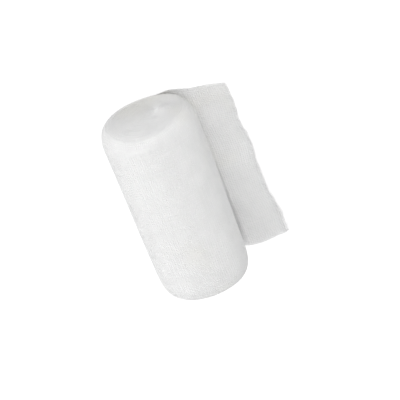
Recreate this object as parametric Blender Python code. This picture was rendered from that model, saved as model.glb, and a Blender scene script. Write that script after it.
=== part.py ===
"""A gauze bandage roll lying on its side, with the loose end of the strip laid out beside it.

The roll's axis is X. It rests on a flat spot at z = 0 whose middle is the origin. The loose end
leaves the roll's underside and lies on the surface towards -Y. Lengths are in metres.
"""

import math

import bmesh
import bpy
from mathutils import Vector

MM = 0.001

# The roll: a strip of nominal four inch gauze, wound soft, a little wider than it is high.
ROLL_LENGTH = 102.0 * MM
HALF_WIDTH = 25.2 * MM
HALF_HEIGHT = 24.95 * MM
FLAT_HALF_WIDTH = 4.5 * MM
AXIS_HEIGHT = HALF_HEIGHT * math.sqrt(1.0 - (FLAT_HALF_WIDTH / HALF_WIDTH) ** 2)

# The shoulders, where the outer turns fold over the ends: along the axis, and in from the side. The
# lean is how far an end runs askew, along X for each length along Y.
SHOULDERS = {
    +1: {"along": 8.8 * MM, "inward": 4.2 * MM, "lean": 0.0},
    -1: {"along": 9.4 * MM, "inward": 2.4 * MM, "lean": 0.04},
}
SHOULDER_RINGS = 5
BARREL_RINGS = 11

# The ends: a shallow dish, the spiral of the turns, and a low bump where the strip starts, with its
# radius and its place across the end.
DISHES = {
    +1: {"depth": 2.6 * MM, "bump": 2.2 * MM, "radius": 5.5 * MM, "y": -6.0 * MM, "z": 1.0 * MM},
    -1: {"depth": 1.8 * MM, "bump": 1.4 * MM, "radius": 4.5 * MM, "y": 3.0 * MM, "z": 2.0 * MM},
}
SPIRAL_TURNS = 5
SPIRAL_MARGIN = 0.6 * MM
CORE_RADIUS = 2.6 * MM
# One turn of the spiral in section, from its outer side inwards: height above the dish.
TURN_SECTION = (0.30 * MM, 0.10 * MM, -0.55 * MM)
# The groove inside the outermost turn starts this share of a turn in, and deepens from there.
GROOVE_START = 2.0 / 3.0
GROOVE_FADE = 3.0

COLUMNS = 60

# Soft lumps in the side: waves around the roll, waves along it, height, and phase in radians.
LUMPS = (
    {"around": 2, "along": 0.6, "height": 0.22 * MM, "phase": 0.4},
    {"around": 3, "along": 1.3, "height": 0.16 * MM, "phase": 2.1},
    {"around": 5, "along": 0.9, "height": 0.10 * MM, "phase": 4.0},
)

# The loose end, from where it leaves the roll to the cut edge. The places of its two sides along X are
# given at distances from the roll's middle line.
SHEET_THICKNESS = 1.0 * MM
SHEET_SIDES = (
    {"distance": 9.4 * MM, "plus_x": 48.9 * MM, "minus_x": -53.6 * MM},
    {"distance": 20.0 * MM, "plus_x": 48.4 * MM, "minus_x": -54.1 * MM},
    {"distance": 30.0 * MM, "plus_x": 47.8 * MM, "minus_x": -53.0 * MM},
    {"distance": 44.0 * MM, "plus_x": 46.2 * MM, "minus_x": -50.6 * MM},
)
CUT_EDGE_AT = {"plus_x": 39.1 * MM, "minus_x": 44.2 * MM}
# The cut edge's waves: places across the strip from its +X side, 0 to 1, and how far it stands out.
CUT_EDGE_WAVES = (
    {"across": 0.00, "out": 0.0 * MM},
    {"across": 0.15, "out": 0.5 * MM},
    {"across": 0.23, "out": -0.9 * MM},
    {"across": 0.36, "out": 0.7 * MM},
    {"across": 0.50, "out": 0.0 * MM},
    {"across": 0.68, "out": -0.3 * MM},
    {"across": 0.82, "out": 1.2 * MM},
    {"across": 0.91, "out": 0.5 * MM},
    {"across": 1.00, "out": 0.0 * MM},
)
# Low ripples that lift the sheet off the surface, and the lifted corner at the cut edge's -X end.
RIPPLES = (
    {"across": 0.20, "width": 0.05, "height": 0.7 * MM, "slant": 0.04},
    {"across": 0.45, "width": 0.07, "height": 1.0 * MM, "slant": -0.05},
    {"across": 0.72, "width": 0.05, "height": 0.8 * MM, "slant": 0.06},
)
CORNER_LIFT = {"height": 3.0 * MM, "reach": 11.0 * MM}
SHEET_COLUMNS = 40
SHEET_ROWS = 13

GAUZE_COLOUR = (0.86, 0.86, 0.85, 1.0)
GAUZE_ROUGHNESS = 0.95


def remove_all_objects():
    for item in list(bpy.data.objects):
        bpy.data.objects.remove(item, do_unlink=True)


def gauze_material():
    material = bpy.data.materials.new("gauze_white")
    material.use_nodes = True
    shader = material.node_tree.nodes["Principled BSDF"]
    shader.inputs["Base Color"].default_value = GAUZE_COLOUR
    shader.inputs["Roughness"].default_value = GAUZE_ROUGHNESS
    shader.inputs["Metallic"].default_value = 0.0
    return material


def add_object(name, mesh_builder, material):
    """Closes and smooths a mesh and puts it in the scene as one object."""
    bmesh.ops.recalc_face_normals(mesh_builder, faces=mesh_builder.faces)
    mesh = bpy.data.meshes.new(name)
    mesh_builder.to_mesh(mesh)
    mesh_builder.free()
    mesh.materials.append(material)
    mesh.shade_smooth()
    item = bpy.data.objects.new(name, mesh)
    bpy.context.scene.collection.objects.link(item)
    return item


def smooth_step(value):
    value = min(max(value, 0.0), 1.0)
    return value * value * (3.0 - 2.0 * value)


def read_table(rows, key, value_key, at):
    """A table's value at a place between its rows, on a smooth curve through them."""
    last = len(rows) - 1
    step = min(sum(1 for row in rows[1:] if row[key] < at), last - 1)
    low, high = rows[step], rows[step + 1]
    before, after = rows[max(step - 1, 0)], rows[min(step + 2, last)]
    span = high[key] - low[key]
    share = min(max((at - low[key]) / span, 0.0), 1.0)
    slope_low = (high[value_key] - before[value_key]) / (high[key] - before[key]) * span
    slope_high = (after[value_key] - low[value_key]) / (after[key] - low[key]) * span
    rest = 1.0 - share
    return (
        low[value_key] * (1.0 + 2.0 * share) * rest * rest
        + high[value_key] * (3.0 - 2.0 * share) * share * share
        + slope_low * share * rest * rest
        - slope_high * share * share * rest
    )


# The roll

def column_angle(column):
    """Angle of a column around the axis. The flat spot lies between two pairs of columns at -90 degrees."""
    return 2.0 * math.pi * (column + 0.5) / COLUMNS - math.pi / 2.0


def lump_height(x, angle):
    """How far the side stands out at a place, fading to nothing at the flat spot."""
    above_flat_spot = smooth_step((math.sin(angle) + 0.95) / 0.8)
    along = 2.0 * math.pi * x / ROLL_LENGTH
    total = sum(
        lump["height"] * math.sin(lump["around"] * angle + lump["along"] * along + lump["phase"])
        for lump in LUMPS
    )
    return above_flat_spot * total


def askew(x, y):
    """Moves a place along X by its end's lean, which grows from the roll's middle to that end."""
    end = 1 if x > 0.0 else -1
    return x + SHOULDERS[end]["lean"] * y * abs(x) / (ROLL_LENGTH / 2.0)


def side_point(x, inward, angle):
    """A point of the roll's side, moved inward towards the axis and pressed flat on the surface."""
    stand_out = lump_height(x, angle) - inward
    y = (HALF_WIDTH + stand_out) * math.cos(angle)
    z = AXIS_HEIGHT + (HALF_HEIGHT + stand_out) * math.sin(angle)
    return Vector((askew(x, y), y, max(z, 0.0)))


def ring_stations():
    """Places of the side's rings from -X to +X: x and how far the ring is drawn in towards the axis."""
    half = ROLL_LENGTH / 2.0
    left, right = SHOULDERS[-1], SHOULDERS[+1]
    quarter_steps = [math.pi / 2.0 * step / SHOULDER_RINGS for step in range(SHOULDER_RINGS)]
    stations = []
    for turn in quarter_steps:
        x = -half + left["along"] * (1.0 - math.sin(turn))
        stations.append((x, left["inward"] * (1.0 - math.cos(turn))))
    stations.reverse()
    stations = [(-half, left["inward"])] + stations
    barrel_start = -half + left["along"]
    barrel_end = half - right["along"]
    for ring in range(1, BARREL_RINGS):
        stations.append((barrel_start + (barrel_end - barrel_start) * ring / BARREL_RINGS, 0.0))
    for turn in quarter_steps:
        x = half - right["along"] * (1.0 - math.sin(turn))
        stations.append((x, right["inward"] * (1.0 - math.cos(turn))))
    stations.append((half, right["inward"]))
    return stations


def add_side(builder):
    """Adds the side's rings and the faces between them, and returns the first and the last ring."""
    rings = []
    for x, inward in ring_stations():
        ring = [builder.verts.new(side_point(x, inward, column_angle(c))) for c in range(COLUMNS)]
        rings.append(ring)
    for near, far in zip(rings, rings[1:]):
        for c in range(COLUMNS):
            after = (c + 1) % COLUMNS
            builder.faces.new((near[c], near[after], far[after], far[c]))
    return rings[0], rings[-1]


def end_depth(end, y, z):
    """How far the end's face lies behind the end plane at a place across it, without the spiral."""
    dish = DISHES[end]
    rim = HALF_WIDTH - SHOULDERS[end]["inward"]
    share = math.hypot(y, z) / rim
    hollow = dish["depth"] * smooth_step((1.0 - share) / 0.75)
    to_bump = math.hypot(y - dish["y"], z - dish["z"]) / dish["radius"]
    return hollow - dish["bump"] * math.exp(-to_bump * to_bump)


def add_end(builder, end, rim_ring):
    """Closes an end with the spiral of the turns.

    Each row drifts inward as it goes round, and meets the row that lies one turn further in.
    """
    rows_per_turn = len(TURN_SECTION)
    rim_width = HALF_WIDTH - SHOULDERS[end]["inward"] - SPIRAL_MARGIN
    rim_height = HALF_HEIGHT - SHOULDERS[end]["inward"] - SPIRAL_MARGIN
    pitch = (rim_height - CORE_RADIUS) / (SPIRAL_TURNS + 1)
    row_count = SPIRAL_TURNS * rows_per_turn
    spiral = {}

    def vertex(row, column):
        if column == COLUMNS:
            return vertex(row + rows_per_turn, 0)
        if (row, column) not in spiral:
            inward = pitch * (row / rows_per_turn + column / COLUMNS)
            angle = column_angle(column)
            y = (rim_width - inward) * math.cos(angle)
            z = (rim_height - inward) * math.sin(angle)
            turns_in = row / rows_per_turn + column / COLUMNS
            fade_in = smooth_step(GROOVE_FADE * (turns_in - GROOVE_START))
            fade_out = smooth_step(SPIRAL_TURNS - turns_in)
            relief = TURN_SECTION[row % rows_per_turn] * fade_in * fade_out
            x = end * (ROLL_LENGTH / 2.0 - end_depth(end, y, z) + relief)
            spiral[row, column] = builder.verts.new(Vector((askew(x, y), y, AXIS_HEIGHT + z)))
        return spiral[row, column]

    last = COLUMNS - 1
    for column in range(last):
        builder.faces.new(
            (rim_ring[column], rim_ring[column + 1], vertex(0, column + 1), vertex(0, column))
        )
    seam = [vertex(row, 0) for row in range(rows_per_turn + 1)]
    builder.faces.new([rim_ring[last], rim_ring[0]] + seam + [vertex(0, last)])

    for row in range(row_count):
        for column in range(COLUMNS):
            corners = (
                vertex(row, column),
                vertex(row, column + 1),
                vertex(row + 1, column + 1),
                vertex(row + 1, column),
            )
            builder.faces.new(corners)

    inner_edge = [vertex(row_count, column) for column in range(COLUMNS + 1)]
    inner_seam = [vertex(row_count + step, 0) for step in range(rows_per_turn - 1, 0, -1)]
    loop = inner_edge + inner_seam
    middle = sum((corner.co for corner in loop), Vector()) / len(loop)
    depth = end_depth(end, middle.y, middle.z - AXIS_HEIGHT)
    middle.x = askew(end * (ROLL_LENGTH / 2.0 - depth), middle.y)
    centre = builder.verts.new(middle)
    for start, after in zip(loop, loop[1:] + loop[:1]):
        builder.faces.new((start, after, centre))


def gauze_roll(material):
    builder = bmesh.new()
    minus_rim, plus_rim = add_side(builder)
    add_end(builder, -1, minus_rim)
    add_end(builder, +1, plus_rim)
    return add_object("gauze_roll", builder, material)


# The loose end

def cut_edge_distance(across):
    """Distance of the cut edge from the roll's middle line, at a share of the width from the +X side."""
    straight = CUT_EDGE_AT["plus_x"] + (CUT_EDGE_AT["minus_x"] - CUT_EDGE_AT["plus_x"]) * across
    return straight + read_table(CUT_EDGE_WAVES, "across", "out", across)


def sheet_place(across, along):
    """Plan position of a point of the sheet, as shares across it from +X and along it from the roll."""
    start = SHEET_SIDES[0]["distance"]
    distance = start + (cut_edge_distance(across) - start) * along
    plus_x = read_table(SHEET_SIDES, "distance", "plus_x", distance)
    minus_x = read_table(SHEET_SIDES, "distance", "minus_x", distance)
    return plus_x + (minus_x - plus_x) * across, -distance


def sheet_lift(across, along, x, y):
    """Height of the sheet's underside above the surface."""
    lift = 0.0
    for ripple in RIPPLES:
        offset = (across - ripple["across"] - ripple["slant"] * along) / ripple["width"]
        lift += ripple["height"] * math.exp(-offset * offset) * smooth_step(along * 1.6)
    corner = sheet_place(1.0, 1.0)
    share = math.hypot(x - corner[0], y - corner[1]) / CORNER_LIFT["reach"]
    return lift + CORNER_LIFT["height"] * smooth_step(1.0 - share)


def loose_end(material):
    builder = bmesh.new()
    under, over = [], []
    for row in range(SHEET_ROWS + 1):
        along = row / SHEET_ROWS
        under_row, over_row = [], []
        for column in range(SHEET_COLUMNS + 1):
            across = column / SHEET_COLUMNS
            x, y = sheet_place(across, along)
            z = sheet_lift(across, along, x, y)
            under_row.append(builder.verts.new(Vector((x, y, z))))
            over_row.append(builder.verts.new(Vector((x, y, z + SHEET_THICKNESS))))
        under.append(under_row)
        over.append(over_row)
    for row in range(SHEET_ROWS):
        for column in range(SHEET_COLUMNS):
            for layer in (under, over):
                corners = (
                    layer[row][column],
                    layer[row][column + 1],
                    layer[row + 1][column + 1],
                    layer[row + 1][column],
                )
                builder.faces.new(corners)
    add_sheet_rim(builder, under, over)
    return add_object("loose_end", builder, material)


def add_sheet_rim(builder, under, over):
    """Joins the sheet's two sides all round its outline."""
    outline = [(0, column) for column in range(SHEET_COLUMNS)]
    outline += [(row, SHEET_COLUMNS) for row in range(SHEET_ROWS)]
    outline += [(SHEET_ROWS, column) for column in range(SHEET_COLUMNS, 0, -1)]
    outline += [(row, 0) for row in range(SHEET_ROWS, 0, -1)]
    for here, after in zip(outline, outline[1:] + outline[:1]):
        corners = (
            under[here[0]][here[1]],
            under[after[0]][after[1]],
            over[after[0]][after[1]],
            over[here[0]][here[1]],
        )
        builder.faces.new(corners)


def main():
    remove_all_objects()
    material = gauze_material()
    gauze_roll(material)
    loose_end(material)


main()
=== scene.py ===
"""A white gauze bandage roll lying on its side, with the loose end of the strip laid out beside it.

The wound body, with the edges of its turns at both ends, stands for the roll's solid. Yarns that
are modelled one by one, over and under each other, make the two outer turns and the loose end. Lengths
are in metres.
"""

import math

import bpy
import numpy as np
from mathutils import Matrix, Vector


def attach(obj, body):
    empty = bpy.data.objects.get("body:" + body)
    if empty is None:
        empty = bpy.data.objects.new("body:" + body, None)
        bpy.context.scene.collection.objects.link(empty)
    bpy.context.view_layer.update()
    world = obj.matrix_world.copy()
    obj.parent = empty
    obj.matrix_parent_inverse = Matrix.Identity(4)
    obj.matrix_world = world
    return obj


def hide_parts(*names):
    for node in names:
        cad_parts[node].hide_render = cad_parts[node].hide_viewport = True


MM = 0.001
BODY = "root"

# The roll's outer surface, as the solid has it but for a rounder shoulder at +X. The roll is as long as
# its strip is wide.
STRIP_WIDTH = 102.0 * MM
ROLL_LENGTH = STRIP_WIDTH
HALF_WIDTH = 25.2 * MM
HALF_HEIGHT = 24.95 * MM
FLAT_HALF_WIDTH = 4.5 * MM
AXIS_HEIGHT = HALF_HEIGHT * math.sqrt(1.0 - (FLAT_HALF_WIDTH / HALF_WIDTH) ** 2)
MEAN_RADIUS = (HALF_WIDTH + HALF_HEIGHT) / 2.0
FULL_TURN = 2.0 * math.pi * MEAN_RADIUS
# Each end's shoulder, and how far that end leans along X for each metre along Y.
SHOULDERS = {
    +1: {"along": 10.5 * MM, "inward": 5.2 * MM, "lean": 0.0},
    -1: {"along": 9.4 * MM, "inward": 2.4 * MM, "lean": 0.04},
}
SHOULDER_TABLE_STEPS = 64
# The side's lumps: waves round the roll and along it. They fade out towards the flat spot, between two
# sines of the angle round the roll.
LUMPS = (
    {"around": 2, "along": 0.6, "height": 0.22 * MM, "phase": 0.4},
    {"around": 3, "along": 1.3, "height": 0.16 * MM, "phase": 2.1},
    {"around": 5, "along": 0.9, "height": 0.10 * MM, "phase": 4.0},
)
LUMPS_FADE = (-0.95, -0.15)
# Each end's face, with places along Y and Z from the axis: its hollow, which is a dome where its depth is
# below nothing, the height where that ends, the core that the turns wind round, and the bump of the
# strip's start.
DISHES = {
    +1: {
        "depth": -0.3 * MM,
        "up_to": 18.0 * MM,
        "core": (-7.0 * MM, 0.5 * MM),
        "bump": 1.6 * MM,
        "bump_radius": 4.5 * MM,
        "bump_at": (-9.6 * MM, -1.5 * MM),
    },
    -1: {
        "depth": 1.8 * MM,
        "up_to": 50.0 * MM,
        "core": (3.0 * MM, 2.0 * MM),
        "bump": 1.4 * MM,
        "bump_radius": 4.5 * MM,
        "bump_at": (3.0 * MM, 2.0 * MM),
    },
}
# A hollow deepens from the rim inward over this share of the radius, and fades out over this height.
HOLLOW_SLOPE = 0.75
HOLLOW_FADE = 34.0 * MM
# The upper rim of the +X end is pressed back and round.
CROWN = {"depth": 5.5 * MM, "from_height": -6.0 * MM, "reach": 31.0 * MM, "power": 3.0}

# The wound body under the outer turns, and the edges of its turns at both ends.
BODY_SINK = 0.33 * MM
BODY_END_SINK = 0.24 * MM
BODY_COLUMNS = 192
BODY_SHOULDER_RINGS = 12
BODY_BARREL_RINGS = 36
BODY_END_RINGS = 24
TURN_PITCH = 0.5 * MM
TURN_EDGE_HALF_WIDTH = 0.24 * MM
TURN_EDGE_HALF_DEPTH = 0.17 * MM
TURN_EDGE_SINK = 0.20 * MM
TURN_EDGE_STEP = 0.9 * MM
TURN_EDGE_SIDES = 6
TURN_EDGE_PLUMPNESS = {"reach": 0.10, "waves": (301.0, 533.0, 911.0)}
CORE_RADIUS = 0.8 * MM
# The turns' edges start this many turns in from the rim, and bend by at most this angle in a step.
TURN_EDGE_START = 0.5
TURN_EDGE_LARGEST_BEND = 0.3
# How unevenly the turns' edges stand: height, and waves in each turn.
TURN_WANDER = (
    {"height": 0.07 * MM, "waves": 0.618, "phase": 0.0},
    {"height": 0.05 * MM, "waves": 2.382, "phase": 1.3},
    {"height": 0.03 * MM, "waves": 5.146, "phase": 0.4},
)

# The woven strip, of 24 lengthwise yarns and 20 crosswise yarns to the inch, as gauze often has.
INCH = 25.4 * MM
WARP_PITCH = INCH / 24.0
WEFT_PITCH = INCH / 20.0
SELVAGE_SPACING = 0.50 * MM
SELVAGE_YARNS = 3
SELVAGE_FROM_END = 0.15 * MM
YARN_HALF_WIDTH = 0.26 * MM
YARN_HALF_THICKNESS = 0.075 * MM
WEAVE_HEIGHT = 0.045 * MM
OUTER_SINK = 0.13 * MM
SECOND_SINK = 0.23 * MM
LOOSE_SINK = 0.22 * MM
# Counted back from the roll's middle line underneath, the outer turn is short of a full turn by this much.
TUCK_ANGLE = math.radians(20.0)
OUTER_TURN_START = TUCK_ANGLE * MEAN_RADIUS - FULL_TURN
# Underneath the roll the strip has run this far along X, and past that it settles on the surface over
# this length.
STRIP_SHIFT_LOOSE = -2.4 * MM
SETTLE_LENGTH = 12.0 * MM
# A normal is worked out from places this far to each side, and no vector counts as shorter than this.
NORMAL_STEP = 0.2 * MM
SHORTEST = 1e-12
# How unevenly the yarns lie, as a share of their pitch, and the waves in which they wander, thicken and
# thin, whose pace varies from yarn to yarn.
PLACE_SCATTER = 0.07
PACE_SCATTER = (0.8, 1.2)
YARN_WANDER = {"reach": 0.08 * MM, "waves": (1.5, 4.0, 9.0)}
YARN_PLUMPNESS = {"reach": 0.12, "waves": (3.0, 7.0, 17.0)}
# Sides of a yarn's tube, and steps from each crossing to the next.
YARN_SIDES = 6
HIDDEN_YARN_SIDES = 4
WOUND_YARN_STEPS = 1
LOOSE_YARN_STEPS = 2
# On its map each tube fills this share of its lane.
LANE_FILL = 0.9

# The loose end's shade ply: a thin sheet in darker tones under its yarns, painted shade that stands for the
# shade seen through the gaps between them. On its map the top and the bottom lie side by side, each this
# wide.
SHADE_PLY = {
    "sink": 0.11 * MM,
    "half_thickness": 0.03 * MM,
    "inset": 0.5 * MM,
    "rows": 24,
    "columns": 60,
}
PLY_MAP_WIDTH = 0.48

# The loose end's outline, within 3 mm of the solid's, and how it lies. Its -X half rises higher than the
# solid's does.
SHEET_SIDES = (
    {"distance": 9.4 * MM, "plus_x": 50.4 * MM, "minus_x": -54.1 * MM},
    {"distance": 20.0 * MM, "plus_x": 48.4 * MM, "minus_x": -52.8 * MM},
    {"distance": 30.0 * MM, "plus_x": 47.8 * MM, "minus_x": -51.8 * MM},
    {"distance": 44.0 * MM, "plus_x": 46.2 * MM, "minus_x": -47.6 * MM},
)
CUT_EDGE_AT = {"plus_x": 39.1 * MM, "minus_x": 45.8 * MM}
CUT_EDGE_WAVES = (
    {"across": 0.00, "out": 0.0 * MM},
    {"across": 0.15, "out": 0.5 * MM},
    {"across": 0.23, "out": -0.9 * MM},
    {"across": 0.36, "out": 0.7 * MM},
    {"across": 0.50, "out": 0.0 * MM},
    {"across": 0.68, "out": -0.3 * MM},
    {"across": 0.82, "out": 1.2 * MM},
    {"across": 0.91, "out": 0.5 * MM},
    {"across": 1.00, "out": 0.0 * MM},
)
CUT_EDGE_RAGGEDNESS = {"out": 0.30 * MM, "waves": ((5.3, 0.4), (9.1, 2.2), (14.3, 4.1))}
RIPPLES = (
    {"across": 0.20, "width": 0.06, "height": 0.4 * MM, "slant": 0.04},
    {"across": 0.45, "width": 0.09, "height": 0.5 * MM, "slant": -0.05},
    {"across": 0.72, "width": 0.06, "height": 0.4 * MM, "slant": 0.06},
)
# The ripples rise between these shares of the way to the cut edge.
RIPPLES_RISE = (0.1875, 0.8125)
# The loose end's -X half rises off the surface towards the cut edge.
LIFT = {"height": 2.6 * MM, "start": 0.25, "power": 1.1, "from": 0.25, "to": 0.85}
# There it also springs up where the roll no longer presses it down.
SPRING = {"height": 2.2 * MM, "start": 0.36, "end": 0.50, "from": 0.33, "to": 0.52}
# Near its -X corner the cut edge curls down.
CURL = {"drop": 1.6 * MM, "reach": 2.0 * MM, "from": 0.78, "to": 0.9}
# The cut edge flutters up and down.
EDGE_FLUTTER = {"height": 0.30 * MM, "reach": 5.0 * MM, "waves": ((6.1, 1.0), (10.7, 3.3), (15.9, 5.0))}

# The cut edge's frayed tips: each warp yarn ends in a few strands, which start a little inside the edge.
FRAY = {
    "strands": 3,
    "shortest": 0.3 * MM,
    "longest": 1.3 * MM,
    "inside": 0.3 * MM,
    "spread": 0.35 * MM,
    "half_width": 0.09 * MM,
    "taper": 0.5,
}
FRAY_POINTS = 5
FRAY_SIDES = 4

# The camera: where it stands, the direction back along its line of sight, and the one up its picture.
CAMERA_PLACE = Vector((0.2925, -0.1773, 0.5343))
CAMERA_BACK = Vector((0.48481, -0.27027, 0.83181))
CAMERA_UP = Vector((0.81587, -0.20292, -0.54145))
CAMERA_LENS_MM = 105.15
SENSOR_MM = 36.0

# The cotton's tones: the roll's yarns; the layers under them, lighter, as painted light; the loose end's
# yarns, lighter, as painted light; and the sheet under those, darker, as painted shade.
YARN_TONES = {
    "bright": (0.876, 0.876, 0.875),
    "shaded": (0.852, 0.852, 0.852),
    "warm": (0.870, 0.864, 0.835),
}
# Painted light: the layers under the outer turns are the same cotton in lighter tones, to offset the shade
# in the gaps between the yarns above them.
BODY_PAINTED_LIGHT_TONES = {
    "bright": (0.910, 0.910, 0.909),
    "shaded": (0.890, 0.890, 0.890),
    "warm": (0.905, 0.898, 0.870),
}
# Painted light: the loose end's yarns are the same cotton as the roll's, in lighter tones, so they stand
# out against the darker sheet beneath them.
LOOSE_PAINTED_LIGHT_TONES = {
    "bright": (0.893, 0.893, 0.892),
    "shaded": (0.872, 0.872, 0.872),
    "warm": (0.888, 0.881, 0.853),
}
# Painted shade: the sheet under the loose end's yarns is the same cotton in darker tones.
PLY_PAINTED_SHADE_TONES = {
    "bright": (0.830, 0.830, 0.829),
    "shaded": (0.800, 0.800, 0.800),
    "warm": (0.825, 0.818, 0.790),
}
# Its patches: their size, the noise where they start and where they are full, and how much they show.
CLOUDS = {"size": 8.0 * MM, "start": 0.35, "full": 0.65, "share": 1.0}
WARM_PATCHES = {"size": 30.0 * MM, "start": 0.52, "full": 0.72, "share": 0.7}
SLUBS = {"size": 1.2 * MM, "start": 0.55, "full": 0.85, "share": 0.5}
# Most of the noise lies in this range.
NOISE_RANGE = (0.3, 0.7)
NOISE_ROUGHNESS = 0.55
FIBRES = {"size": 0.12 * MM, "detail": 3.0, "height": 0.02 * MM, "relief": 0.5}
WOVEN_RELIEF = 0.4
# At a scale of 1, a wave texture runs through this many radians in each unit of length.
WAVE_RADIANS = 20.0
COTTON_ROUGHNESS = (0.88, 0.98)
COTTON_DIFFUSE_ROUGHNESS = 0.25
COTTON_GLOSS = 0.25
COTTON_SHEEN = 0.15
COTTON_SHEEN_ROUGHNESS = 0.5
WHITE = (1.0, 1.0, 1.0, 1.0)
# The mix node's sockets: its share, its two colours, and the colour that it gives.
MIX_SHARE = 0
MIX_COLOURS = (6, 7)
MIX_RESULT = 2

# The light and the floor.
WORLD_STRENGTH = 0.585
FLOOR_REACH = 3.0
FLOOR_ALBEDO = (0.44, 0.46)
FLOOR_ROUGHNESS = 0.9
FLOOR_GRAIN = 12.0 * MM
FLOOR_GLOW = 0.75
LIGHT_AIM = (0.0, -0.01, 0.02)
LIGHTS = (
    {"name": "key", "place": (0.0, 1.207, 0.324), "size": 0.9, "power": 10.2},
    {"name": "end_light", "place": (1.231, 0.0, 0.217), "size": 0.9, "power": 3.8},
    {"name": "fill", "place": (0.08, -0.2, 0.4), "size": 0.25, "power": 0.68},
)

SEED = 7


def smooth_step(value):
    """Rises smoothly from 0 to 1 as the value does."""
    value = np.clip(value, 0.0, 1.0)
    return value * value * (3.0 - 2.0 * value)


def ramp(value, start, end):
    """Rises smoothly from 0 where the value is at the start to 1 where it is at the end."""
    return smooth_step((value - start) / (end - start))


def read_table(rows, key, value_key, at):
    """A table's values at places between its rows, on a smooth curve through them."""
    keys = np.array([row[key] for row in rows])
    values = np.array([row[value_key] for row in rows])
    at = np.clip(np.asarray(at, dtype=float), keys[0], keys[-1])
    last = len(rows) - 1
    step = np.clip(np.searchsorted(keys, at, side="left") - 1, 0, last - 1)
    before = np.maximum(step - 1, 0)
    after = np.minimum(step + 2, last)
    span = keys[step + 1] - keys[step]
    share = (at - keys[step]) / span
    rest = 1.0 - share
    slope_low = (values[step + 1] - values[before]) / (keys[step + 1] - keys[before]) * span
    slope_high = (values[after] - values[step]) / (keys[after] - keys[step]) * span
    return (
        values[step] * (1.0 + 2.0 * share) * rest * rest
        + values[step + 1] * (3.0 - 2.0 * share) * share * share
        + slope_low * share * rest * rest
        - slope_high * share * share * rest
    )


# The roll's surface

def lump_height(x, angle):
    """How far the side stands out at a place, fading to nothing at the flat spot."""
    above_flat_spot = ramp(np.sin(angle), *LUMPS_FADE)
    along = 2.0 * math.pi * x / ROLL_LENGTH
    total = 0.0
    for lump in LUMPS:
        total = total + lump["height"] * np.sin(
            lump["around"] * angle + lump["along"] * along + lump["phase"]
        )
    return above_flat_spot * total


def askew(x, y):
    """Moves places along X by their end's lean, which grows from the roll's middle to that end."""
    lean = np.where(x > 0.0, SHOULDERS[+1]["lean"], SHOULDERS[-1]["lean"])
    return x + lean * y * np.abs(x) / (ROLL_LENGTH / 2.0)


def shoulder_table(end):
    """The shoulder's quarter ellipse: length along it from the barrel, place along X, how far inward, and
    how far its outward direction has turned from the radius to the X axis."""
    shoulder = SHOULDERS[end]
    turn = np.linspace(0.0, math.pi / 2.0, SHOULDER_TABLE_STEPS)
    x = end * (ROLL_LENGTH / 2.0 - shoulder["along"] * (1.0 - np.sin(turn)))
    inward = shoulder["inward"] * (1.0 - np.cos(turn))
    lengths = np.hypot(np.diff(x), np.diff(inward))
    facing = np.arctan2(shoulder["inward"] * np.sin(turn), shoulder["along"] * np.cos(turn))
    return np.concatenate([[0.0], np.cumsum(lengths)]), x, inward, facing


def profile_reach(end):
    """Length of the surface from the roll's middle, over the barrel and the shoulder, to the end's face."""
    lengths, x, _, _ = shoulder_table(end)
    return abs(x[0]) + lengths[-1]


def profile(across):
    """Place along X, how far inward, and facing, for a length across the roll from its middle."""
    x = np.array(across, dtype=float)
    inward = np.zeros_like(x)
    facing = np.zeros_like(x)
    for end in (+1, -1):
        lengths, table_x, table_inward, table_facing = shoulder_table(end)
        past = end * across - abs(table_x[0])
        over = past > 0.0
        x[over] = np.interp(past[over], lengths, table_x)
        inward[over] = np.interp(past[over], lengths, table_inward)
        facing[over] = np.interp(past[over], lengths, table_facing)
    return x, inward, facing


def crowned(points):
    """Moves points near the upper rim of the +X end back along the roll."""
    barrel = ROLL_LENGTH / 2.0 - SHOULDERS[+1]["along"]
    near_end = smooth_step((points[..., 0] - barrel) / SHOULDERS[+1]["along"])
    height = points[..., 2] - AXIS_HEIGHT - CROWN["from_height"]
    share = np.clip(height / CROWN["reach"], 0.0, 1.0)
    points[..., 0] -= CROWN["depth"] * near_end * share ** CROWN["power"]
    return points


def side_points(across, angle, sink):
    """Points of the roll's side, at a length across it, sunk under the outermost surface."""
    x, inward, facing = profile(across)
    stand_out = lump_height(x, angle) - inward - sink * np.cos(facing)
    x = x - np.sign(x) * sink * np.sin(facing)
    y = (HALF_WIDTH + stand_out) * np.cos(angle)
    z = AXIS_HEIGHT + (HALF_HEIGHT + stand_out) * np.sin(angle)
    return crowned(np.stack([askew(x, y), y, np.maximum(z, sink)], axis=-1))


def end_depth(end, y, z):
    """How far an end's face lies behind the end plane, at places from the axis."""
    dish = DISHES[end]
    rim = HALF_WIDTH - SHOULDERS[end]["inward"]
    share = np.hypot(y, z) / rim
    hollow = dish["depth"] * smooth_step((1.0 - share) / HOLLOW_SLOPE)
    hollow = hollow * smooth_step((dish["up_to"] - z) / HOLLOW_FADE)
    bump_y, bump_z = dish["bump_at"]
    to_bump = np.hypot(y - bump_y, z - bump_z) / dish["bump_radius"]
    return hollow - dish["bump"] * np.exp(-to_bump * to_bump)


def end_points(end, inward, angle, sink):
    """Points of an end's face, moved inward from its rim and sunk under its surface.

    The turns wind round the core's end, which lies beside the middle.
    """
    rim_inward = SHOULDERS[end]["inward"]
    to_core = inward / (HALF_HEIGHT - rim_inward)
    core_y, core_z = DISHES[end]["core"]
    y = (HALF_WIDTH - rim_inward - inward) * np.cos(angle) + core_y * to_core
    z = (HALF_HEIGHT - rim_inward - inward) * np.sin(angle) + core_z * to_core
    x = end * (ROLL_LENGTH / 2.0 - end_depth(end, y, z) - sink)
    return crowned(np.stack([askew(x, y), y, AXIS_HEIGHT + z], axis=-1))


# The loose end's surface

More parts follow.
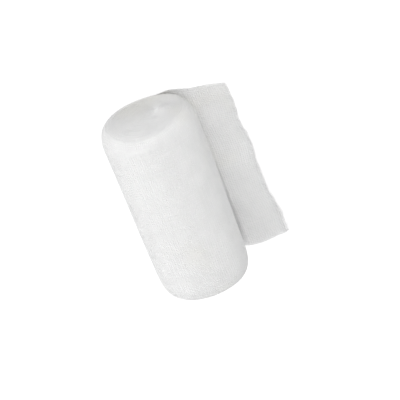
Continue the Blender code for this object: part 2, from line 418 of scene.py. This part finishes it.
def edge_waves(waves, share):
    """Uneven waves along the cut edge, between -1 and 1, from pairs of pace and phase."""
    total = 0.0
    for pace, phase in waves:
        total = total + np.sin(2.0 * math.pi * pace * share + phase)
    return total / len(waves)


def cut_edge_distance(share):
    """Distance of the cut edge from the roll's middle line, at a share of the width from the +X side."""
    straight = CUT_EDGE_AT["plus_x"] + (CUT_EDGE_AT["minus_x"] - CUT_EDGE_AT["plus_x"]) * share
    ragged = CUT_EDGE_RAGGEDNESS["out"] * edge_waves(CUT_EDGE_RAGGEDNESS["waves"], share)
    return straight + read_table(CUT_EDGE_WAVES, "across", "out", share) + ragged


def loose_plan(share, distance):
    """Place along X of a point of the loose end, at a share of its width and a distance from the roll."""
    plus_x = read_table(SHEET_SIDES, "distance", "plus_x", distance)
    minus_x = read_table(SHEET_SIDES, "distance", "minus_x", distance)
    return plus_x + (minus_x - plus_x) * share


def ripple_height(share, along):
    """Height of the ripples, at a share of the width and a share of the way to the cut edge."""
    height = 0.0
    for ripple in RIPPLES:
        offset = (share - ripple["across"] - ripple["slant"] * along) / ripple["width"]
        height = height + ripple["height"] * np.exp(-offset * offset) * ramp(along, *RIPPLES_RISE)
    return height


def lifted_height(share, along):
    """How far the -X half rises towards the cut edge."""
    rising = ramp(share, LIFT["from"], LIFT["to"])
    outward = np.maximum(along - LIFT["start"], 0.0) / (1.0 - LIFT["start"])
    return LIFT["height"] * rising * outward ** LIFT["power"]


def sprung_height(share, along):
    """How far the -X half springs up beside the roll."""
    springing = ramp(share, SPRING["from"], SPRING["to"])
    let_go = ramp(along, SPRING["start"], SPRING["end"])
    return SPRING["height"] * springing * let_go


def flutter_height(share, to_edge):
    """How far the cloth flutters up near the cut edge, at a distance from it."""
    near_edge = smooth_step(1.0 - to_edge / EDGE_FLUTTER["reach"])
    return EDGE_FLUTTER["height"] * near_edge * (1.0 + edge_waves(EDGE_FLUTTER["waves"], share))


def curl_drop(share, to_edge):
    """How far the cut edge curls down near its -X corner, at a distance from it."""
    curling = ramp(share, CURL["from"], CURL["to"])
    past_bend = np.maximum(1.0 - to_edge / CURL["reach"], 0.0)
    return CURL["drop"] * curling * past_bend ** 2


def loose_lift(share, distance):
    """Height of the loose end above the surface that it lies on."""
    edge = cut_edge_distance(share)
    along = distance / edge
    to_edge = edge - distance
    raised = ripple_height(share, along) + lifted_height(share, along) + sprung_height(share, along)
    return np.maximum(raised + flutter_height(share, to_edge) - curl_drop(share, to_edge), 0.0)


def on_roll(place):
    """Length across the roll for a place across the strip, whose selvages lie near the ends' faces."""
    half = STRIP_WIDTH / 2.0
    reach = np.where(place > 0.0, profile_reach(+1), profile_reach(-1)) - SELVAGE_FROM_END
    return place / half * reach


def strip_points(distance, place, sink):
    """Points of the woven strip.

    The distance runs from the roll's middle line underneath: towards the cut edge where it is positive,
    and back round the roll where it is negative. The place across the strip runs from -X to +X.
    """
    share = 0.5 - place / STRIP_WIDTH
    near_loose = smooth_step(1.0 + distance / (FULL_TURN / 4.0))
    across = on_roll(place) + STRIP_SHIFT_LOOSE * near_loose
    angle = -math.pi / 2.0 - np.minimum(distance, 0.0) / MEAN_RADIUS
    wrapped = side_points(across, angle, sink)
    ahead = np.maximum(distance, 0.0)
    wrapped[..., 1] -= ahead
    x_flat = loose_plan(share, ahead)
    flat = np.stack([x_flat, -ahead, sink + loose_lift(share, ahead)], axis=-1)
    weight = smooth_step(ahead / SETTLE_LENGTH)[..., None]
    return wrapped * (1.0 - weight) + flat * weight


def strip_frame(distance, place, sink):
    """Points of the strip with their outward normals."""
    points = strip_points(distance, place, sink)
    step = NORMAL_STEP
    along = strip_points(distance + step, place, sink) - strip_points(distance - step, place, sink)
    over = strip_points(distance, place + step, sink) - strip_points(distance, place - step, sink)
    return points, unit(np.cross(over, along))


# Meshes

def unit(vectors):
    """The vectors at a length of 1."""
    return vectors / np.maximum(np.linalg.norm(vectors, axis=-1, keepdims=True), SHORTEST)


def new_object(name, vertices, faces, uv, material):
    """An object that rides on the part, with a map of its own for each face's corners."""
    mesh = bpy.data.meshes.new(name)
    mesh.from_pydata(np.asarray(vertices).tolist(), [], faces)
    layer = mesh.uv_layers.new(name="OFBake")
    layer.data.foreach_set("uv", np.asarray(uv, dtype=np.float32).ravel())
    mesh.materials.append(material)
    mesh.shade_smooth()
    item = bpy.data.objects.new(name, mesh)
    bpy.context.scene.collection.objects.link(item)
    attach(item, BODY)
    return item


class Tubes:
    """Closed tubes along many paths, gathered for one mesh. On its map each tube has a lane of its own."""

    def __init__(self):
        self.vertices = []
        self.faces = []
        self.lanes = []
        self.count = 0
        self.lane_count = 0

    def add(self, paths, normals, half_widths, half_depths, sides):
        """Adds paths of equally many points each, with the normals that their half depths lie along."""
        yarns, length = paths.shape[:2]
        across = unit(np.cross(unit(np.gradient(paths, axis=1)), normals))
        up = unit(np.cross(across, np.gradient(paths, axis=1)))
        turns = (np.arange(sides) + 0.5) * 2.0 * math.pi / sides
        rings = (
            paths[:, :, None, :]
            + across[:, :, None, :] * (half_widths[:, :, None] * np.cos(turns))[..., None]
            + up[:, :, None, :] * (half_depths[:, :, None] * np.sin(turns))[..., None]
        )
        index = self.count + np.arange(yarns * length * sides).reshape(yarns, length, sides)
        after = np.roll(index, -1, axis=2)
        quads = np.stack([index[:, :-1], after[:, :-1], after[:, 1:], index[:, 1:]], axis=-1)
        caps = np.concatenate([index[:, 0, ::-1], index[:, -1, :]], axis=0)
        self.vertices.append(rings.reshape(-1, 3))
        self.faces += quads.reshape(-1, 4).tolist() + caps.tolist()
        self.lanes.append(self.lane_map(yarns, length, sides))
        self.count += yarns * length * sides
        self.lane_count += yarns

    def lane_map(self, yarns, length, sides):
        """Each face corner's lane and share of its tube's length, in the order of the faces."""
        lane = self.lane_count + np.arange(yarns)[:, None, None]
        side = np.arange(sides) / sides
        step = np.arange(length - 1)[:, None] / (length - 1)
        shape = (yarns, length - 1, sides)
        low = np.broadcast_to(lane + LANE_FILL * side, shape)
        high = np.broadcast_to(lane + LANE_FILL * (side + 1.0 / sides), shape)
        start = np.broadcast_to(step, shape)
        stop = np.broadcast_to(step + 1.0 / (length - 1), shape)
        corners = np.stack([low, start, high, start, high, stop, low, stop], axis=-1).reshape(-1, 2)
        cap_lanes = (lane + LANE_FILL * side).reshape(yarns, sides)
        first = np.stack([cap_lanes[:, ::-1], np.zeros((yarns, sides))], axis=-1).reshape(-1, 2)
        last = np.stack([cap_lanes, np.ones((yarns, sides))], axis=-1).reshape(-1, 2)
        return np.concatenate([corners, first, last])

    def object(self, name, material):
        """One object with all the tubes."""
        uv = np.concatenate(self.lanes) / np.array([self.lane_count, 1.0])
        return new_object(name, np.concatenate(self.vertices), self.faces, uv, material)


# The weave

def wander(random, count, length, reach, waves):
    """Smooth unevenness, one row for each yarn: sums of waves with phases of their own."""
    place = np.linspace(0.0, 1.0, length)
    total = np.zeros((count, length))
    for wave in waves:
        phase = random.uniform(0.0, 2.0 * math.pi, (count, 1))
        pace = wave * random.uniform(*PACE_SCATTER, (count, 1))
        total += np.sin(2.0 * math.pi * pace * place + phase)
    return reach * total / math.sqrt(len(waves))


def warp_places(random):
    """Places of the warp yarns across the strip: nearly even, and close together in the selvages."""
    edge = STRIP_WIDTH / 2.0 - YARN_HALF_WIDTH
    inner = edge - SELVAGE_SPACING * (SELVAGE_YARNS - 1)
    gaps = round(2.0 * inner / WARP_PITCH)
    middle = np.linspace(-inner, inner, gaps + 1)
    middle[1:-1] += random.normal(0.0, PLACE_SCATTER * WARP_PITCH, gaps - 1)
    selvage = inner + SELVAGE_SPACING * np.arange(1, SELVAGE_YARNS)
    return np.concatenate([-selvage[::-1], middle, selvage])


def between(values, steps):
    """Values along the last axis with more places between each two, and those places."""
    last = values.shape[-1] - 1
    places = np.linspace(0.0, last, last * steps + 1)
    low = np.minimum(places.astype(int), last - 1)
    share = places - low
    return values[..., low] * (1.0 - share) + values[..., low + 1] * share, places


def add_yarns(tubes, distance, place, sink, sign, random, steps, sides):
    """Adds yarns that run along the last axis, over and under those that they cross."""
    distance, crossings = between(distance, steps)
    place, _ = between(place, steps)
    points, normals = strip_frame(distance, place, sink)
    parity = np.where(np.arange(len(distance)) % 2 == 0, 1.0, -1.0)
    rise = sign * WEAVE_HEIGHT * parity[:, None] * np.cos(math.pi * crossings)
    plump = 1.0 + wander(random, *rise.shape, **YARN_PLUMPNESS)
    paths = points + rise[..., None] * normals
    tubes.add(paths, normals, YARN_HALF_WIDTH * plump, YARN_HALF_THICKNESS * plump, sides)


def uneven_grid(distance, place, random):
    """The crossings of a layer's yarns, which wander a little: rows of wefts by columns of warps."""
    rows, columns = distance.shape
    return (
        distance + wander(random, rows, columns, **YARN_WANDER),
        place + wander(random, columns, rows, **YARN_WANDER).T,
    )


def wound_turn(name, first_distance, last_distance, sink, sides, material, random):
    """One turn of the strip round the roll, its crosswise and its lengthwise yarns."""
    rows = round((last_distance - first_distance) / WEFT_PITCH)
    distance = first_distance + (last_distance - first_distance) * np.arange(rows + 1) / rows
    distance[1:-1] += random.normal(0.0, PLACE_SCATTER * WEFT_PITCH, rows - 1)
    grid = np.meshgrid(distance, warp_places(random), indexing="ij")
    distances, places = uneven_grid(*grid, random)
    wefts = Tubes()
    add_yarns(wefts, distances, places, sink, +1.0, random, WOUND_YARN_STEPS, sides)
    wefts.object(name + "_wefts", material)
    warps = Tubes()
    add_yarns(warps, distances.T, places.T, sink, -1.0, random, WOUND_YARN_STEPS, sides)
    warps.object(name + "_warps", material)


def loose_gauze(material, random):
    """The loose end of the strip, from underneath the roll to the cut edge, and its warp yarns' places."""
    places = warp_places(random)
    edge = cut_edge_distance(0.5 - places / STRIP_WIDTH)
    rows = round(float(edge.mean()) / WEFT_PITCH)
    along = np.arange(rows + 1) / rows
    along[1:-1] += random.normal(0.0, PLACE_SCATTER / rows, rows - 1)
    grid = along[:, None] * edge[None, :], np.tile(places, (rows + 1, 1))
    distances, across = uneven_grid(*grid, random)
    yarns = Tubes()
    add_yarns(yarns, distances, across, LOOSE_SINK, +1.0, random, LOOSE_YARN_STEPS, YARN_SIDES)
    add_yarns(yarns, distances.T, across.T, LOOSE_SINK, -1.0, random, LOOSE_YARN_STEPS, YARN_SIDES)
    return yarns.object("loose_gauze", material), places


def ply_faces(rows, columns):
    """The faces of a thin closed sheet, whose bottom's vertices come after its top's."""
    index = np.arange((rows + 1) * (columns + 1)).reshape(rows + 1, columns + 1)
    corners = [index[:-1, :-1], index[:-1, 1:], index[1:, 1:], index[1:, :-1]]
    cells = np.stack(corners, axis=-1).reshape(-1, 4)
    rim = np.concatenate([index[0, :-1], index[:-1, -1], index[-1, :0:-1], index[:0:-1, 0]])
    ahead = np.roll(rim, -1)
    walls = np.stack([rim, ahead, ahead + index.size, rim + index.size], axis=-1)
    return np.concatenate([cells, cells[:, ::-1] + index.size, walls])


def ply_map(rows, columns):
    """The map of a closed sheet's vertices, its top beside its bottom."""
    across, along = np.meshgrid(np.linspace(0.0, PLY_MAP_WIDTH, columns + 1), np.arange(rows + 1) / rows)
    top = np.stack([across, along], axis=-1).reshape(-1, 2)
    return np.concatenate([top, top + np.array([1.0 - PLY_MAP_WIDTH, 0.0])])


def shade_ply(material):
    """A thin closed sheet under the loose end's woven yarns, in darker tones: painted shade seen through
    the gaps between them.
    """
    rows, columns = SHADE_PLY["rows"], SHADE_PLY["columns"]
    half = STRIP_WIDTH / 2.0 - SHADE_PLY["inset"]
    places = np.linspace(-half, half, columns + 1)
    edge = cut_edge_distance(0.5 - places / STRIP_WIDTH) - SHADE_PLY["inset"]
    distance = (np.arange(rows + 1) / rows)[:, None] * edge
    points, normals = strip_frame(distance, np.tile(places, (rows + 1, 1)), SHADE_PLY["sink"])
    shift = SHADE_PLY["half_thickness"] * normals
    vertices = np.concatenate([(points + shift).reshape(-1, 3), (points - shift).reshape(-1, 3)])
    faces = ply_faces(rows, columns)
    uv = ply_map(rows, columns)[faces.ravel()]
    return new_object("shade_ply", vertices, faces.tolist(), uv, material)


def frayed_tips(places, material, random):
    """The strands that each warp yarn of the loose end comes apart into past the last weft."""
    tubes = Tubes()
    edge = cut_edge_distance(0.5 - places / STRIP_WIDTH)
    step = np.linspace(0.0, 1.0, FRAY_POINTS)
    for _ in range(FRAY["strands"]):
        length = random.uniform(FRAY["shortest"], FRAY["longest"], (len(places), 1))
        sideways = random.uniform(-FRAY["spread"], FRAY["spread"], (len(places), 1))
        distance = edge[:, None] + length * step - FRAY["inside"]
        place = places[:, None] + sideways * step * step
        points, normals = strip_frame(distance, place, LOOSE_SINK)
        half = FRAY["half_width"] * (1.0 - FRAY["taper"] * step) * np.ones_like(distance)
        tubes.add(points, normals, half, half, FRAY_SIDES)
    return tubes.object("frayed_tips", material)


# The wound body

def body_lengths():
    """Lengths across the roll of the rings of its side, from -X to +X."""
    rings = []
    for end in (-1, +1):
        reach = profile_reach(end)
        barrel = ROLL_LENGTH / 2.0 - SHOULDERS[end]["along"]
        shoulder = np.linspace(barrel, reach, BODY_SHOULDER_RINGS + 1)
        rings.append(end * shoulder)
    barrel = np.linspace(rings[0][0], rings[1][0], BODY_BARREL_RINGS + 1)[1:-1]
    return np.concatenate([rings[0][::-1], barrel, rings[1]])


def column_angles():
    """Angles round the roll of the body's columns, from underneath it."""
    return 2.0 * math.pi * (np.arange(BODY_COLUMNS) + 0.5) / BODY_COLUMNS - math.pi / 2.0


def body_sink(across):
    """Depth of the body under the outermost surface, which is less at the ends."""
    _, _, facing = profile(across)
    return BODY_SINK + (BODY_END_SINK - BODY_SINK) * smooth_step(facing / (math.pi / 2.0))


def side_rings(angles):
    """Rings of the body over its side, from -X to +X."""
    rings = []
    lengths = body_lengths()
    for across, sink in zip(lengths, body_sink(lengths)):
        rings.append(side_points(np.full_like(angles, across), angles, sink))
    return rings


def end_rings(end, angles):
    """Rings of the body over an end's face, from its rim to its core."""
    rings = []
    rim = HALF_HEIGHT - SHOULDERS[end]["inward"]
    for step in range(1, BODY_END_RINGS + 1):
        inward = (rim - CORE_RADIUS) * step / BODY_END_RINGS
        rings.append(end_points(end, inward, angles, BODY_END_SINK))
    return rings


def wound_roll(material):
    """The wound body: rings over its side and both ends, each end closed at its core."""
    angles = column_angles()
    rings = end_rings(-1, angles)[::-1] + side_rings(angles) + end_rings(+1, angles)
    vertices = np.concatenate(rings)
    index = np.arange(len(vertices)).reshape(len(rings), BODY_COLUMNS)
    after = np.roll(index, -1, axis=1)
    faces = np.stack([index[:-1], after[:-1], after[1:], index[1:]], axis=-1).reshape(-1, 4).tolist()
    faces += [index[0, ::-1].tolist(), index[-1].tolist()]
    return new_object("wound_roll", vertices, faces, body_map(len(rings)), material)


def body_map(ring_count):
    """The body's map: columns along it, rings up it, and the two closing faces along its edges."""
    column = np.broadcast_to(np.arange(BODY_COLUMNS) / BODY_COLUMNS, (ring_count - 1, BODY_COLUMNS))
    row = np.broadcast_to((np.arange(ring_count - 1) / (ring_count - 1))[:, None], column.shape)
    right = column + 1.0 / BODY_COLUMNS
    above = row + 1.0 / (ring_count - 1)
    quads = np.stack([column, row, right, row, right, above, column, above], axis=-1).reshape(-1, 2)
    closing = np.arange(BODY_COLUMNS) / BODY_COLUMNS
    first = np.stack([closing[::-1], np.zeros(BODY_COLUMNS)], axis=-1)
    last = np.stack([closing, np.ones(BODY_COLUMNS)], axis=-1)
    return np.concatenate([quads, first, last])


def turn_wander(turns_in):
    """How far the turns' edges stand out, at a count of turns inward from the rim."""
    total = np.zeros_like(turns_in)
    for wave in TURN_WANDER:
        total += wave["height"] * np.sin(2.0 * math.pi * wave["waves"] * turns_in + wave["phase"])
    return total


def turn_steps(end):
    """Counts of turns inward from the rim to the core, in steps of about equal length."""
    rim = HALF_HEIGHT - SHOULDERS[end]["inward"]
    turns_in = [TURN_EDGE_START]
    radius = rim - TURN_PITCH * turns_in[-1]
    while radius >= CORE_RADIUS + TURN_PITCH / 2.0:
        bend = min(TURN_EDGE_STEP / radius, TURN_EDGE_LARGEST_BEND)
        turns_in.append(turns_in[-1] + bend / (2.0 * math.pi))
        radius = rim - TURN_PITCH * turns_in[-1]
    return np.array(turns_in)


def turn_edges(name, end, material, random):
    """The edges of an end's turns: one long yarn that winds inward from the rim to the core."""
    turns_in = turn_steps(end)
    angle = 2.0 * math.pi * turns_in - math.pi / 2.0
    paths = end_points(end, TURN_PITCH * turns_in, angle, TURN_EDGE_SINK - turn_wander(turns_in))[None]
    normals = np.broadcast_to(np.array([end, 0.0, 0.0]), paths.shape)
    plump = 1.0 + wander(random, 1, len(turns_in), **TURN_EDGE_PLUMPNESS)
    tubes = Tubes()
    tubes.add(paths, normals, TURN_EDGE_HALF_WIDTH * plump, TURN_EDGE_HALF_DEPTH * plump, TURN_EDGE_SIDES)
    return tubes.object(name, material)


# Materials

def add_node(material, kind, **inputs):
    """A node with values for its inputs, whose names have underscores for spaces."""
    node = material.node_tree.nodes.new(kind)
    for name, value in inputs.items():
        node.inputs[name.replace("_", " ")].default_value = value
    return node


def shader_of(name):
    """A new material and its shader."""
    material = bpy.data.materials.new(name)
    material.use_nodes = True
    return material, material.node_tree.nodes["Principled BSDF"]


def connect(material, source, target):
    """Links a node's output to an input."""
    material.node_tree.links.new(source, target)


def noise(material, size, detail=2.0):
    """Noise in the object's own space, with features of about a given size."""
    coordinates = add_node(material, "ShaderNodeTexCoord")
    texture = add_node(
        material, "ShaderNodeTexNoise", Scale=1.0 / size, Detail=detail, Roughness=NOISE_ROUGHNESS
    )
    connect(material, coordinates.outputs["Object"], texture.inputs["Vector"])
    return texture.outputs["Fac"]


def remap(material, value, lows, highs):
    """A value moved from one range to another, and kept inside it.

    The lows are both ranges' lowest values, and the highs their highest ones.
    """
    node = add_node(
        material, "ShaderNodeMapRange", From_Min=lows[0], From_Max=highs[0], To_Min=lows[1], To_Max=highs[1]
    )
    connect(material, value, node.inputs["Value"])
    return node.outputs["Result"]


def patches(material, size, start, full, share):
    """How much patches show: up to a share, where the noise is high."""
    return remap(material, noise(material, size), (start, 0.0), (full, share))


def uneven(material, size, low, high):
    """A value that wanders from low to high with the noise."""
    return remap(material, noise(material, size), (NOISE_RANGE[0], low), (NOISE_RANGE[1], high))


def blend(material, share, first, second):
    """Two colours mixed by a share; each is a socket or a plain colour."""
    node = material.node_tree.nodes.new("ShaderNodeMix")
    node.data_type = "RGBA"
    connect(material, share, node.inputs[MIX_SHARE])
    for index, colour in zip(MIX_COLOURS, (first, second)):
        if isinstance(colour, tuple):
            node.inputs[index].default_value = (*colour, 1.0)
        else:
            connect(material, colour, node.inputs[index])
    return node.outputs[MIX_RESULT]


def relief(material, shader, height, depth, strength):
    """Bumps from a height between 0 and 1."""
    bump = add_node(material, "ShaderNodeBump", Strength=strength, Distance=depth)
    connect(material, height, bump.inputs["Height"])
    connect(material, bump.outputs["Normal"], shader.inputs["Normal"])


def cotton_colour(material, tones):
    """Bleached cotton: cloudy patches, a few faintly warm ones, and finer thick and thin places."""
    colour = blend(material, patches(material, **CLOUDS), tones["shaded"], tones["bright"])
    colour = blend(material, patches(material, **WARM_PATCHES), colour, tones["warm"])
    return blend(material, patches(material, **SLUBS), colour, tones["shaded"])


def cotton(name, tones):
    """A material of bleached cotton fibres, and its shader."""
    material, shader = shader_of(name)
    connect(material, cotton_colour(material, tones), shader.inputs["Base Color"])
    roughness = uneven(material, SLUBS["size"], *COTTON_ROUGHNESS)
    connect(material, roughness, shader.inputs["Roughness"])
    shader.inputs["Diffuse Roughness"].default_value = COTTON_DIFFUSE_ROUGHNESS
    shader.inputs["Specular IOR Level"].default_value = COTTON_GLOSS
    shader.inputs["Sheen Weight"].default_value = COTTON_SHEEN
    shader.inputs["Sheen Roughness"].default_value = COTTON_SHEEN_ROUGHNESS
    return material, shader


def yarn_material(name, tones):
    """Loosely spun yarn with fine fibres on it."""
    material, shader = cotton(name, tones)
    fibres = noise(material, FIBRES["size"], FIBRES["detail"])
    relief(material, shader, fibres, FIBRES["height"], FIBRES["relief"])
    return material


def ridges(material, coordinate, length, axis="X"):
    """Even ridges of a given length along an axis of a coordinate."""
    texture = add_node(material, "ShaderNodeTexWave", Scale=2.0 * math.pi / (WAVE_RADIANS * length))
    texture.bands_direction = axis
    connect(material, coordinate, texture.inputs["Vector"])
    return texture.outputs["Fac"]


def woven_relief(material, shader, warps, wefts):
    """The weave of a layer whose yarns aren't modelled one by one."""
    woven = material.node_tree.nodes.new("ShaderNodeMath")
    woven.operation = "MAXIMUM"
    connect(material, warps, woven.inputs[0])
    connect(material, wefts, woven.inputs[1])
    relief(material, shader, woven.outputs["Value"], YARN_HALF_THICKNESS, WOVEN_RELIEF)


def wound_material():
    """The layers under the outer turns, in tones lighter than the yarns': painted light that offsets the
    shade in the gaps between the yarns above them.
    """
    material, shader = cotton("wound_gauze", BODY_PAINTED_LIGHT_TONES)
    coordinates = add_node(material, "ShaderNodeTexCoord")
    warps = ridges(material, coordinates.outputs["Object"], WARP_PITCH)
    wefts = ridges(material, coordinates.outputs["UV"], WEFT_PITCH / FULL_TURN)
    woven_relief(material, shader, warps, wefts)
    return material


def shade_ply_material():
    """The darker cotton of the sheet under the loose end's yarns: painted shade."""
    material, shader = cotton("shade_ply_gauze", PLY_PAINTED_SHADE_TONES)
    place = add_node(material, "ShaderNodeTexCoord").outputs["Object"]
    warps = ridges(material, place, WARP_PITCH)
    wefts = ridges(material, place, WEFT_PITCH, "Y")
    woven_relief(material, shader, warps, wefts)
    return material


def floor_material():
    """A white studio floor. Only the camera sees its glow, so it doesn't light the gauze from below."""
    material, shader = shader_of("floor_white")
    grain = uneven(material, FLOOR_GRAIN, 0.0, 1.0)
    tones = tuple((value,) * 3 for value in FLOOR_ALBEDO)
    connect(material, blend(material, grain, *tones), shader.inputs["Base Color"])
    shader.inputs["Roughness"].default_value = FLOOR_ROUGHNESS
    shader.inputs["Emission Color"].default_value = WHITE
    seen = add_node(material, "ShaderNodeLightPath").outputs["Is Camera Ray"]
    glow = remap(material, seen, (0.0, 0.0), (1.0, FLOOR_GLOW))
    connect(material, glow, shader.inputs["Emission Strength"])
    return material


# The surroundings

def add_floor():
    """The surface that the roll lies on."""
    corners = [(-1, -1), (1, -1), (1, 1), (-1, 1)]
    mesh = bpy.data.meshes.new("floor")
    mesh.from_pydata([(x * FLOOR_REACH, y * FLOOR_REACH, 0.0) for x, y in corners], [], [(0, 1, 2, 3)])
    mesh.materials.append(floor_material())
    floor = bpy.data.objects.new("floor", mesh)
    bpy.context.scene.collection.objects.link(floor)


def add_light(name, place, size, power):
    """A round light that faces the part."""
    data = bpy.data.lights.new(name, "AREA")
    data.shape = "DISK"
    data.size = size
    data.energy = power
    light = bpy.data.objects.new(name, data)
    light.location = place
    light.rotation_euler = (Vector(LIGHT_AIM) - Vector(place)).to_track_quat("-Z", "Y").to_euler()
    light.visible_camera = False
    bpy.context.scene.collection.objects.link(light)


def add_surroundings():
    """The floor, the lights and the even light from all round."""
    add_floor()
    for light in LIGHTS:
        add_light(**light)
    world = bpy.data.worlds.new("studio")
    world.use_nodes = True
    background = world.node_tree.nodes["Background"]
    background.inputs["Color"].default_value = WHITE
    background.inputs["Strength"].default_value = WORLD_STRENGTH
    bpy.context.scene.world = world
    bpy.context.scene.view_settings.view_transform = "Standard"


def add_camera():
    """The camera, fitted to the photo's outline."""
    data = bpy.data.cameras.new("camera")
    data.lens = CAMERA_LENS_MM
    data.sensor_width = SENSOR_MM
    camera = bpy.data.objects.new("camera", data)
    back = CAMERA_BACK.normalized()
    right = CAMERA_UP.cross(back).normalized()
    up = back.cross(right)
    camera.matrix_world = Matrix.Translation(CAMERA_PLACE) @ Matrix((right, up, back)).transposed().to_4x4()
    bpy.context.scene.collection.objects.link(camera)
    bpy.context.scene.camera = camera


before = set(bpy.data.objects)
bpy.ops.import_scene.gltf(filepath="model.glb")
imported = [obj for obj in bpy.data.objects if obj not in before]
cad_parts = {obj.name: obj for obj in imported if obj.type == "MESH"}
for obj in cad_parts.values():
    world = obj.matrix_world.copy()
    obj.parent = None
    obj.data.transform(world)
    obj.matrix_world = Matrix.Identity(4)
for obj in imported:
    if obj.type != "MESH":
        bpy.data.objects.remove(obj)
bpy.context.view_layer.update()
add_camera()
random = np.random.default_rng(SEED)
yarn = yarn_material("gauze_yarn", YARN_TONES)
# The loose end's yarns take lighter tones than the roll's: painted light.
loose_yarn = yarn_material("loose_yarn", LOOSE_PAINTED_LIGHT_TONES)
# The wound body's lighter tones are painted light against the shade between the yarns.
roll = wound_roll(wound_material())
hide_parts("gauze_roll")
turn_edges("turn_edges_plus_x", +1, yarn, random)
turn_edges("turn_edges_minus_x", -1, yarn, random)
wound_turn("second_turn", -FULL_TURN, 0.0, SECOND_SINK, HIDDEN_YARN_SIDES, yarn, random)
wound_turn("outer_turn", OUTER_TURN_START, -WEFT_PITCH, OUTER_SINK, YARN_SIDES, yarn, random)
loose, places = loose_gauze(loose_yarn, random)
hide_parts("loose_end")
# The darker sheet under the loose end's yarns is painted shade.
inner = shade_ply(shade_ply_material())
fray = frayed_tips(places, loose_yarn, random)
add_surroundings()
